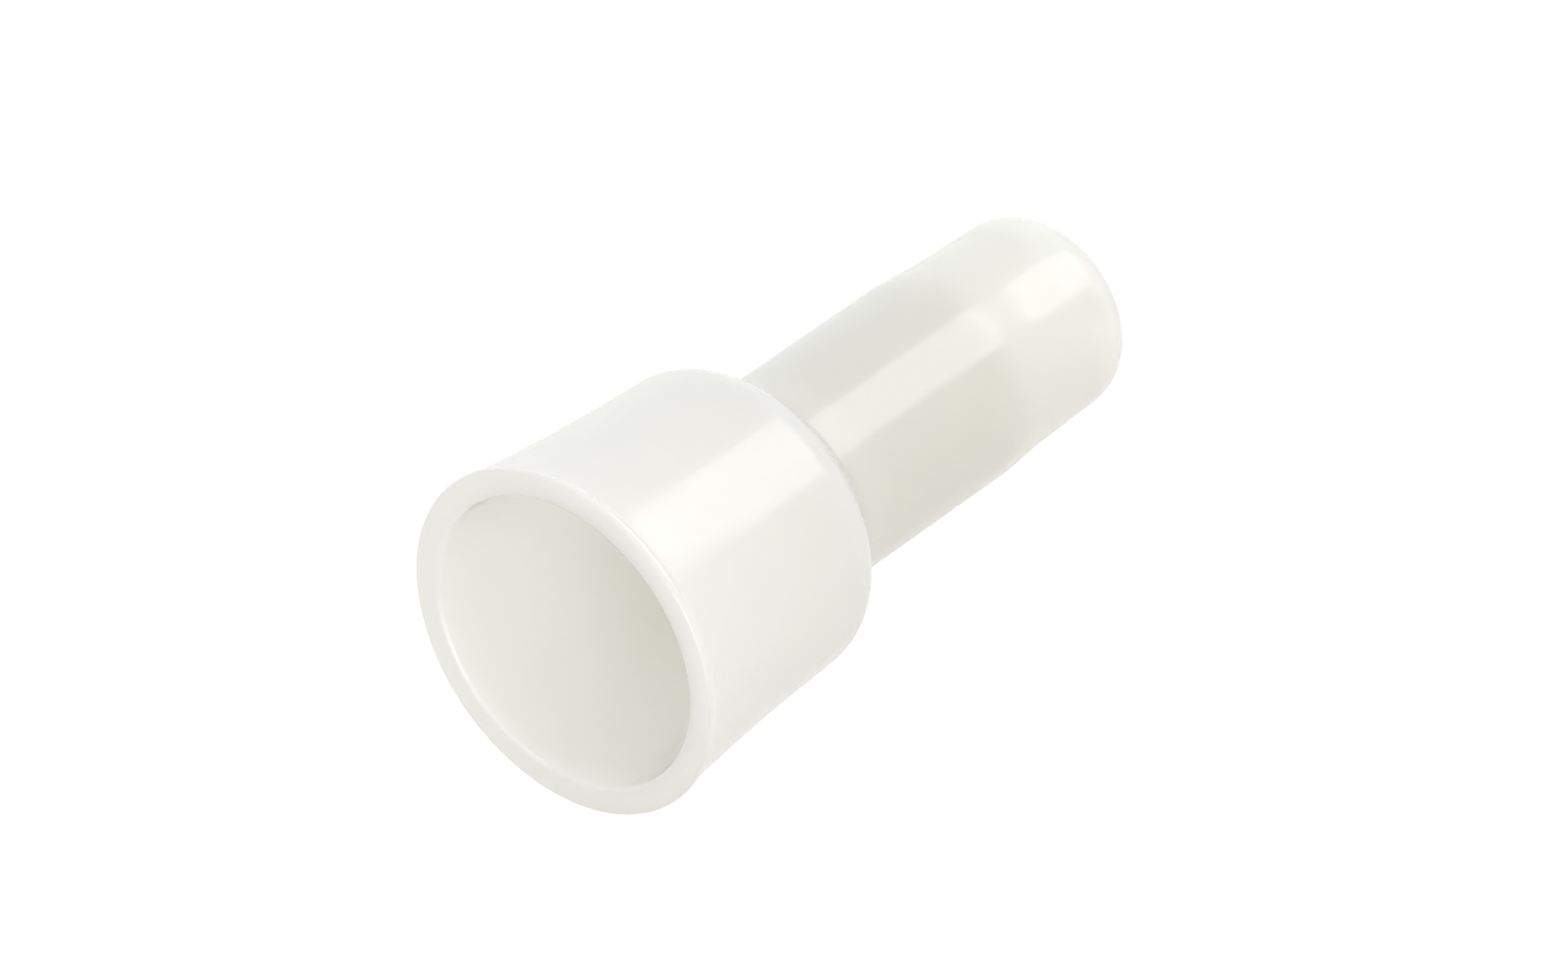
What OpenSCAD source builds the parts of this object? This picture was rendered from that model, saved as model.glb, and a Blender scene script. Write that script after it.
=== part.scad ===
// Closed-end crimp connector: a moulded nylon cap with a plated crimp sleeve pressed into its barrel.
// Frame: millimetres, +Z up along the axis. The connector stands on its closed end with its mouth up, and
// the origin is the centre of the closed end.

/* [Overall] */
// Length from the closed end to the rim of the mouth
length = 26.9; // [25:0.1:30]

/* [Mouth and skirt] */
// Outside diameter over the lip at the mouth
mouth_d = 13.2; // [12.8:0.1:14.5]
// How far the lip stands out from the skirt
lip_proud = 0.13; // [0.05:0.01:0.2]
// Height of the lip, with its sloping underside
lip_h = 0.36; // [0.3:0.01:0.5]
// Rounding of the rim's two edges
rim_round = 0.1; // [0.05:0.01:0.15]
// Outside diameter half way down the skirt, where the flare ends
waist_d = 12.08; // [11.8:0.02:12.4]
// Outside diameter of the skirt where the shoulder begins
skirt_d = 11.66; // [11.3:0.02:11.8]
// Height of the flare's end above the closed end
waist_z = 21.9; // [20.5:0.1:23]
// Height of the shoulder's corner above the closed end
shoulder_z = 17.27; // [16.8:0.01:18]
// Wall thickness of the skirt
skirt_wall = 0.9; // [0.7:0.01:1]
// Rounding of the shoulder's outer edge
shoulder_round = 1.6; // [0.6:0.1:1.8]
// Radius that blends the flare into the straight part of the skirt
flare_round = 90; // [20:5:90]

/* [Barrel] */
// Outside diameter of the barrel, where the tool's jaws close
barrel_d = 7.96; // [7.6:0.02:8.2]
// Height at which the barrel meets the shoulder
barrel_top = 15.66; // [15.5:0.01:15.9]
// Height at which the barrel begins to narrow towards the closed end
barrel_base = 6.5; // [6.2:0.1:6.7]
// Outside diameter below the narrowed stretch
neck_d = 7.66; // [7.4:0.02:7.8]
// Height of the narrowed stretch
neck_h = 1.75; // [1:0.05:2.5]
// Outside diameter at the closed end, before its edge is rounded
tip_d = 7.4; // [7:0.02:7.6]
// Rounding of the closed end's outer edge
tip_round = 1.45; // [0.8:0.05:1.8]
// Rounding in the corner between barrel and shoulder
root_round = 0.3; // [0.1:0.05:0.5]

/* [Inside] */
// Height at which the skirt's inside turns into the funnel
floor_z = 18.1; // [17.9:0.1:18.6]
// Height at which the funnel reaches the sleeve's pocket
funnel_z = 15.2; // [14.9:0.1:15.6]
// Diameter of the blind hole below the sleeve
blind_d = 4.5; // [4:0.1:4.6]
// Thickness of the closed end
end_wall = 1.5; // [1.2:0.1:2.5]
// Rounding at the bottom of the blind hole
blind_round = 1.1; // [0.5:0.1:1.5]

/* [Crimp sleeve] */
// Outside diameter of the sleeve, a press fit in the barrel
sleeve_d = 6.2; // [6:0.05:6.4]
// Inside diameter of the sleeve, which the wires enter
wire_d = 5.2; // [5.1:0.05:5.4]
// Height of the ledge that the sleeve stands on
sleeve_z = 6.7; // [6.6:0.05:7]
// Length of the sleeve
sleeve_len = 7.65; // [7:0.05:7.9]
// Width of the lead-in chamfer at the sleeve's mouth
sleeve_lead = 0.25; // [0.1:0.05:0.35]
// Width of the sleeve's other edge breaks
sleeve_break = 0.08; // [0.04:0.02:0.12]

/* [Gate mark] */
// Diameter of the shallow recess where the cap was gated
gate_d = 1.8; // [1:0.1:2.4]
// Depth of that recess
gate_depth = 0.18; // [0.1:0.02:0.3]
// Diameter of the stub of sprue left in it
sprue_d = 0.8; // [0.4:0.1:0.9]

/* [Hidden] */
$fn = 96;

// Radii of the outline, from the closed end to the rim
tip_r = tip_d / 2;
neck_r = neck_d / 2;
barrel_r = barrel_d / 2;
skirt_r = skirt_d / 2;
waist_r = waist_d / 2;
lip_r = mouth_d / 2;
flare_r = lip_r - lip_proud;
sleeve_r = sleeve_d / 2;
wire_r = wire_d / 2;
blind_r = blind_d / 2;
neck_z = barrel_base - neck_h;
lip_z = length - lip_h;
sleeve_top = sleeve_z + sleeve_len;

// The sprue stub ends this far inside the closed end's face, so that the cap can stand on that face
sprue_sunk = 0.06;
// Blend radius of the two faint corners where the barrel narrows
neck_blend = 8;
// Radius in the corner where the skirt's inside meets the funnel, and where the funnel meets the pocket
floor_round = 0.8;
throat_round = 0.5;
// How far cutting shapes pass beyond the faces they cut, and slivers beyond the faces they join
over = 1;
nudge = 0.1;

// Outer corners of the cap's half section as [radius, height], from the axis round to the rim
outer = [
    [0, 0],
    [tip_r, 0],
    [neck_r, neck_z],
    [barrel_r, barrel_base],
    [barrel_r, barrel_top],
    [skirt_r, shoulder_z],
    [waist_r, waist_z],
    [flare_r, lip_z],
    [lip_r, lip_z + lip_proud],
    [lip_r, length],
    [0, length]
];

// Corners of the hollow's half section, from the mouth down to the blind hole
hollow = [
    [0, length + over],
    [flare_r - skirt_wall, length + over],
    [flare_r - skirt_wall, length],
    [waist_r - skirt_wall, waist_z],
    [skirt_r - skirt_wall, floor_z],
    [sleeve_r, funnel_z],
    [sleeve_r, sleeve_z],
    [blind_r, sleeve_z],
    [blind_r, end_wall],
    [0, end_wall]
];

function unit(v) = v / norm(v);

// The sliver between a corner and the arc of radius r that rounds it: cut from an outer corner, or
// added in an inner one. a and b are the corner's neighbours. It reaches a little past the faces it joins.
module corner_sliver(a, corner, b, r) {
    to_a = unit(a - corner);
    to_b = unit(b - corner);
    half_angle = acos(to_a * to_b) / 2;
    reach = r / tan(half_angle);
    centre = corner + unit(to_a + to_b) * r / sin(half_angle);
    touching = [corner + to_a * reach, corner, corner + to_b * reach];
    difference() {
        polygon([for (p = touching) p + unit(p - centre) * nudge]);
        translate(centre) circle(r = r);
    }
}

// The same sliver at point i of a list of corners, turned into a ring about the axis
module ring_at(points, i, r) {
    rotate_extrude() corner_sliver(points[i - 1], points[i], points[i + 1], r);
}

// The cap's outside as a solid
module outside() {
    difference() {
        union() {
            rotate_extrude() polygon(outer);
            ring_at(outer, 4, root_round);
            ring_at(outer, 6, flare_round);
        }
        ring_at(outer, 1, tip_round);
        ring_at(outer, 3, neck_blend);
        ring_at(outer, 5, shoulder_round);
        ring_at(outer, 9, rim_round);
    }
}

// The space inside the cap, with the broken edge where it meets the rim
module inside() {
    edge_r = flare_r - skirt_wall;
    difference() {
        union() {
            rotate_extrude() polygon(hollow);
            ring_at(hollow, 5, throat_round);
            translate([0, 0, length - rim_round])
                cylinder(r1 = edge_r, r2 = edge_r + rim_round + over, h = rim_round + over);
        }
        ring_at(hollow, 4, floor_round);
        ring_at(hollow, 8, blind_round);
    }
}

// Shallow ring-shaped recess round the stub of sprue in the closed end
module gate_recess() {
    difference() {
        translate([0, 0, -over]) cylinder(d = gate_d, h = over + gate_depth);
        translate([0, 0, sprue_sunk]) cylinder(d = sprue_d, h = gate_depth);
    }
}

module nylon_cap() {
    color("ivory")
    difference() {
        outside();
        inside();
        gate_recess();
    }
}

// The sleeve is a tube with broken edges and a wider lead-in where the wires enter
module crimp_sleeve() {
    color("darkkhaki")
    rotate_extrude()
    polygon([
        [wire_r, sleeve_z + sleeve_break],
        [wire_r + sleeve_break, sleeve_z],
        [sleeve_r - sleeve_break, sleeve_z],
        [sleeve_r, sleeve_z + sleeve_break],
        [sleeve_r, sleeve_top - sleeve_break],
        [sleeve_r - sleeve_break, sleeve_top],
        [wire_r + sleeve_lead, sleeve_top],
        [wire_r, sleeve_top - sleeve_lead]
    ]);
}

nylon_cap();
crimp_sleeve();
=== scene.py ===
import math

import bmesh
import bpy
from mathutils import Matrix, Vector


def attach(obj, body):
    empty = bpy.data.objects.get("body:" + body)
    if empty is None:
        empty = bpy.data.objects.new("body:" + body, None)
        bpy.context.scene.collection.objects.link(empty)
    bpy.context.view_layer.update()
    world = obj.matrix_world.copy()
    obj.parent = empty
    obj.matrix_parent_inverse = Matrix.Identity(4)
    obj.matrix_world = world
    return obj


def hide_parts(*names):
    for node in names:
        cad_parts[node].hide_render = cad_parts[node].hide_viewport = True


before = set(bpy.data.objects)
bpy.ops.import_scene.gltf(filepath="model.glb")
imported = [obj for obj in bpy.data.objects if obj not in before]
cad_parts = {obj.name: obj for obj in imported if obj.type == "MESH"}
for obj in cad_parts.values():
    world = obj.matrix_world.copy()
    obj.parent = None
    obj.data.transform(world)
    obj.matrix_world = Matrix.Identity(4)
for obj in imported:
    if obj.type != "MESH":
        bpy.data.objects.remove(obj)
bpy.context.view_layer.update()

# Sizes are the CAD model's, in millimetres. A height is measured along the axis from the closed end.
MM = 0.001
LENGTH = 26.9
# Faces round the axis, and the longest run between two rings of points
TURNS = 192
LONGEST_RUN = 0.45
# A rounded corner has a point for about every so many degrees, between a fewest and a most. Its arc takes up
# no more than this share of the run on either side
ARC_STEP, FEWEST, MOST = 7, 2, 14
ARC_SHARE = 0.48
# A ring narrower than this is a point on the axis
ON_AXIS = 1e-6

# Half section of the cap as (radius, height, rounding), from the closed end round the rim to the blind hole.
# The lip is 0.005 inside its true 6.6, because the CAD mesh's flats are that far inside its circle
CAP = [
    (0.0, 0.06, 0),
    (0.34, 0.06, 0.04),
    (0.40, 0.18, 0.03),
    (0.84, 0.18, 0.03),
    (0.90, 0.0, 0.03),
    (3.70, 0.0, 1.45),
    (3.83, 4.75, 8.0),
    (3.98, 6.5, 8.0),
    (3.98, 15.66, 0.3),
    (5.83, 17.27, 1.6),
    (6.04, 21.9, 60.0),
    (6.47, 26.52, 0.2),
    (6.595, 26.67, 0.2),
    (6.595, 26.90, 0.13),
    (5.57, 26.90, 0.16),
    (5.14, 21.9, 20.0),
    (4.93, 18.1, 0.8),
    (3.10, 15.2, 0.5),
    (3.10, 6.7, 0.03),
    (2.25, 6.7, 0.1),
    (2.25, 1.5, 1.1),
    (0.0, 1.5, 0),
]
# The sleeve's closed section, a hair inside its pocket so that the two surfaces don't coincide
GAP = 0.012
SLEEVE = [
    (2.60, 6.78, 0.03),
    (2.68, 6.71, 0.03),
    (3.02, 6.71, 0.03),
    (3.10 - GAP, 6.78, 0.03),
    (3.10 - GAP, 14.27, 0.03),
    (3.02, 14.35, 0.03),
    (2.85, 14.35, 0.03),
    (2.60, 14.10, 0.03),
]


def rounded(points, closed):
    """The section's points with each corner turned into an arc."""
    out = []
    n = len(points)
    for i, (r, h, radius) in enumerate(points):
        here = Vector((r, h))
        if radius <= 0 or (not closed and i in (0, n - 1)):
            out.append(here)
            continue
        before = Vector(points[i - 1][:2]) - here
        after = Vector(points[(i + 1) % n][:2]) - here
        half = before.angle(after) / 2
        reach = min(radius / math.tan(half), ARC_SHARE * before.length, ARC_SHARE * after.length)
        radius = reach * math.tan(half)
        u, v = before.normalized(), after.normalized()
        centre = here + (u + v).normalized() * radius / math.sin(half)
        a, b = here + u * reach - centre, here + v * reach - centre
        turn = a.angle_signed(b)
        steps = min(MOST, int(abs(math.degrees(turn)) / ARC_STEP) + FEWEST)
        for k in range(steps + 1):
            t = -turn * k / steps
            c, s = math.cos(t), math.sin(t)
            out.append(centre + Vector((a.x * c - a.y * s, a.x * s + a.y * c)))
    return out


def subdivided(points, closed, longest):
    """Extra points on long straight runs, so that faces stay near square."""
    out = []
    n = len(points)
    for i in range(n if closed else n - 1):
        a, b = points[i], points[(i + 1) % n]
        parts = max(1, math.ceil((b - a).length / longest))
        out += [a.lerp(b, k / parts) for k in range(parts)]
    out = out if closed else out + [points[-1]]
    # Arithmetic leaves the closed end a hair below the table
    return [Vector((p.x, max(p.y, 0.0))) for p in out]


def lathe(name, section, closed):
    """A body of revolution about Z, standing on the closed end."""
    line = subdivided(rounded(section, closed), closed, LONGEST_RUN)
    bm = bmesh.new()
    rings = []
    for p in line:
        if p.x < ON_AXIS:
            rings.append([bm.verts.new((0, 0, p.y * MM))])
            continue
        ring = []
        for k in range(TURNS):
            a = 2 * math.pi * k / TURNS
            ring.append(bm.verts.new((p.x * MM * math.cos(a), p.x * MM * math.sin(a), p.y * MM)))
        rings.append(ring)
    pairs = list(zip(rings, rings[1:] + rings[:1])) if closed else list(zip(rings, rings[1:]))
    for low, high in pairs:
        for k in range(TURNS):
            j = (k + 1) % TURNS
            if len(low) == 1:
                bm.faces.new((low[0], high[k], high[j]))
            elif len(high) == 1:
                bm.faces.new((low[j], low[k], high[0]))
            else:
                bm.faces.new((low[j], low[k], high[k], high[j]))
    bmesh.ops.recalc_face_normals(bm, faces=bm.faces)
    mesh = bpy.data.meshes.new(name)
    bm.to_mesh(mesh)
    bm.free()
    mesh.shade_smooth()
    obj = bpy.data.objects.new(name, mesh)
    bpy.context.scene.collection.objects.link(obj)
    return obj


def material(name):
    mat = bpy.data.materials.new(name)
    mat.use_nodes = True
    tree = mat.node_tree
    return mat, tree, tree.nodes["Principled BSDF"]


def node(tree, kind, settings=None, **inputs):
    """A node with its settings and its unlinked inputs: to_min=0.3 sets the input called To Min."""
    made = tree.nodes.new(kind)
    for key, value in (settings or {}).items():
        setattr(made, key, value)
    for key, value in inputs.items():
        made.inputs[key.replace("_", " ").title()].default_value = value
    return made


def ramp(tree, low, high, span=(0.0, 1.0)):
    """A colour ramp from one colour to another between the two ends of span."""
    made = tree.nodes.new("ShaderNodeValToRGB")
    for stop, color, position in zip(made.color_ramp.elements, (low, high), span):
        stop.position = position
        stop.color = (*color, 1)
    return made


def set_inputs(shader, values):
    """A shader's inputs by their full names."""
    for name, value in values.items():
        shader.inputs[name].default_value = value


# The barrel's painted tint, yellower for the plated sleeve seen through the wall, starts at the first height
# and is full at the second, further down
PAINTED_TINT_START, PAINTED_TINT_FULL = 15.6, 13.8


def nylon():
    """Natural nylon: milky, a little see-through, semi-gloss, with the faint unevenness of a moulding."""
    mat, tree, shader = material("natural_nylon")
    link = tree.links.new
    coords = tree.nodes.new("ShaderNodeTexCoord")

    # Base colour: a faint cloud, with a painted yellower tint over the barrel that stands in for the sleeve
    # seen through the wall
    cloud = node(tree, "ShaderNodeTexNoise", scale=260.0, detail=3.0, roughness=0.55)
    tint = ramp(tree, (0.960, 0.946, 0.885), (0.970, 0.958, 0.902), (0.35, 0.65))
    height = tree.nodes.new("ShaderNodeSeparateXYZ")
    share = node(tree, "ShaderNodeMapRange", from_min=PAINTED_TINT_START * MM, from_max=PAINTED_TINT_FULL * MM)
    # Painted tint: over the barrel the base colour is multiplied by a yellower white, for the sleeve seen
    # through the wall
    painted_tint = node(tree, "ShaderNodeMix", {"data_type": "RGBA", "blend_type": "MULTIPLY"})
    # Inputs 6 and 7 are the two colours, output 2 is the mixed one
    painted_tint.inputs[7].default_value = (1.0, 0.995, 0.945, 1)
    link(coords.outputs["Object"], cloud.inputs["Vector"])
    link(cloud.outputs["Fac"], tint.inputs["Fac"])
    link(coords.outputs["Object"], height.inputs["Vector"])
    link(height.outputs["Z"], share.inputs["Value"])
    link(share.outputs["Result"], painted_tint.inputs["Factor"])
    link(tint.outputs["Color"], painted_tint.inputs[6])
    link(painted_tint.outputs[2], shader.inputs["Base Color"])

    # The skin's fine unevenness drives the roughness and a slight bump
    skin = node(tree, "ShaderNodeTexNoise", scale=1400.0, detail=2.0, roughness=0.6)
    gloss = node(tree, "ShaderNodeMapRange", to_min=0.30, to_max=0.34)
    bump = node(tree, "ShaderNodeBump", strength=0.05, distance=0.04 * MM)
    link(coords.outputs["Object"], skin.inputs["Vector"])
    link(skin.outputs["Fac"], gloss.inputs["Value"])
    link(gloss.outputs["Result"], shader.inputs["Roughness"])
    link(skin.outputs["Fac"], bump.inputs["Height"])
    link(bump.outputs["Normal"], shader.inputs["Normal"])

    # Light scatters mostly forwards, over about four times the skirt's wall. The coat is smoother than the
    # nylon and gives the crisp highlights
    set_inputs(shader, {
        "IOR": 1.53,
        "Transmission Weight": 0.34,
        "Coat Weight": 1.0,
        "Coat Roughness": 0.12,
        "Coat IOR": 1.5,
        "Subsurface Weight": 1.0,
        "Subsurface Radius": (1.0, 1.0, 1.0),
        "Subsurface Scale": 3.5 * MM,
        "Subsurface Anisotropy": 0.7,
    })
    return mat


def plated():
    """Plated metal, satin, drawn along its length and slightly uneven. It is yellower than tin, so that it
    shows through the nylon as an olive-grey band."""
    mat, tree, shader = material("tin_plate")
    link = tree.links.new
    coords = tree.nodes.new("ShaderNodeTexCoord")
    stretch = node(tree, "ShaderNodeMapping", scale=(1.0, 1.0, 0.08))
    drawn = node(tree, "ShaderNodeTexNoise", scale=2600.0, detail=2.0)
    tone = ramp(tree, (0.88, 0.83, 0.40), (0.94, 0.90, 0.50))
    gloss = node(tree, "ShaderNodeMapRange", to_min=0.22, to_max=0.34)
    link(coords.outputs["Object"], stretch.inputs["Vector"])
    link(stretch.outputs["Vector"], drawn.inputs["Vector"])
    link(drawn.outputs["Fac"], tone.inputs["Fac"])
    link(drawn.outputs["Fac"], gloss.inputs["Value"])
    link(tone.outputs["Color"], shader.inputs["Base Color"])
    link(gloss.outputs["Result"], shader.inputs["Roughness"])
    shader.inputs["Metallic"].default_value = 1.0
    return mat


cap = lathe("cap", CAP, closed=False)
cap.data.materials.append(nylon())
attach(cap, "root")
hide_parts("nylon_cap")

sleeve = lathe("sleeve", SLEEVE, closed=True)
sleeve.data.materials.append(plated())
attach(sleeve, "root")
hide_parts("crimp_sleeve")


def aim(azimuth, elevation):
    """The direction from the part towards an azimuth and elevation in degrees, and the level direction
    to the right of someone who looks at the part from there."""
    a, e = math.radians(azimuth), math.radians(elevation)
    back = Vector((math.sin(a) * math.cos(e), -math.cos(a) * math.cos(e), math.sin(e)))
    return back, Vector((math.cos(a), math.sin(a), 0))


# The set: a white light table under the part, and pale surroundings, a little warmer and dimmer on one side
BRIGHT_SIDE = aim(106.2, -26.3)[0]
# They change over this much of the way from the middle to either side
SKY_FADE = 0.8
scene = bpy.context.scene
world = bpy.data.worlds.new("surroundings")
scene.world = world
world.use_nodes = True
tree = world.node_tree
where = tree.nodes.new("ShaderNodeTexCoord")
towards = node(tree, "ShaderNodeVectorMath", {"operation": "DOT_PRODUCT"})
towards.inputs[1].default_value = BRIGHT_SIDE
share = node(tree, "ShaderNodeMapRange", from_min=-SKY_FADE, from_max=SKY_FADE)
sky = ramp(tree, (0.70, 0.68, 0.63), (0.98, 0.99, 1.0))
background = tree.nodes["Background"]
background.inputs["Strength"].default_value = 1.08
tree.links.new(where.outputs["Generated"], towards.inputs[0])
tree.links.new(towards.outputs["Value"], share.inputs["Value"])
tree.links.new(share.outputs["Result"], sky.inputs["Fac"])
tree.links.new(sky.outputs["Color"], background.inputs["Color"])

# Metres from the table's middle to its edges
FLOOR_REACH = 3.0
floor_mesh = bpy.data.meshes.new("floor")
bm = bmesh.new()
bm.faces.new([bm.verts.new((x * FLOOR_REACH, y * FLOOR_REACH, 0))
              for x, y in ((-1, -1), (1, -1), (1, 1), (-1, 1))])
bm.to_mesh(floor_mesh)
bm.free()
floor = bpy.data.objects.new("floor", floor_mesh)
scene.collection.objects.link(floor)
mat, tree, shader = material("light_table")
set_inputs(shader, {
    "Base Color": (0.25, 0.25, 0.25, 1),
    "Roughness": 1.0,
    "Specular IOR Level": 0.0,
    "Emission Color": (1, 1, 1, 1),
    "Emission Strength": 1.0,
})
floor.data.materials.append(mat)
# The table lets the light and the surroundings under it through
floor.visible_shadow = False
floor.visible_glossy = False
floor.visible_diffuse = False

# Metres from the part's middle to each light
PANEL_DISTANCE = 0.30


def panel(name, azimuth, elevation, size, radiance, color=(1, 1, 1)):
    """A rectangular light that faces the part's middle. Its sides are in metres."""
    back, side = aim(azimuth, elevation)
    light = bpy.data.lights.new(name, "AREA")
    light.shape = "RECTANGLE"
    light.size, light.size_y = size
    light.energy = radiance * math.pi * size[0] * size[1]
    light.color = color
    obj = bpy.data.objects.new(name, light)
    obj.location = back * PANEL_DISTANCE + Vector((0, 0, LENGTH / 2 * MM))
    obj.rotation_euler = Matrix((side, back.cross(side), back)).transposed().to_euler()
    scene.collection.objects.link(obj)


# The softbox shines up through the table. Its long side runs round the part's axis. Two more panels light
# the inside: one from nearly straight above the mouth, one at a slant
panel("softbox", 58.2, -40.0, (0.20, 0.10), 1.55)
panel("above", -30.0, 75.0, (0.20, 0.20), 1.2, (1.0, 0.99, 0.97))
panel("front", 0.0, 42.0, (0.20, 0.14), 2.6, (1.0, 0.995, 0.98))

# The camera looks into the mouth and is rolled, so that the part's axis runs up to the right. The three
# distances are from the middle of the rim, in millimetres
VIEW_AZIMUTH, VIEW_ELEVATION = 40.0, 39.22
VIEW_ROLL = math.radians(-124.86)
VIEW_RIGHT, VIEW_UP, VIEW_BACK = 7.531, 5.422, 415.62
camera_data = bpy.data.cameras.new("camera")
camera_data.lens = 281.25
camera_data.sensor_width = 36.0
camera_data.clip_start = 0.01
camera = bpy.data.objects.new("camera", camera_data)
back, level = aim(VIEW_AZIMUTH, VIEW_ELEVATION)
right = level * math.cos(VIEW_ROLL) + back.cross(level) * math.sin(VIEW_ROLL)
up = back.cross(right)
mouth = Vector((0, 0, LENGTH * MM))
camera.location = mouth + (VIEW_RIGHT * right + VIEW_UP * up + VIEW_BACK * back) * MM
camera.rotation_euler = Matrix((right, up, back)).transposed().to_euler()
scene.collection.objects.link(camera)
scene.camera = camera
scene.view_settings.view_transform = "Standard"
# Light goes through the milky wall and round the hollow many times before it is used up
scene.cycles.max_bounces = 24
scene.cycles.diffuse_bounces = 16
scene.cycles.transmission_bounces = 16
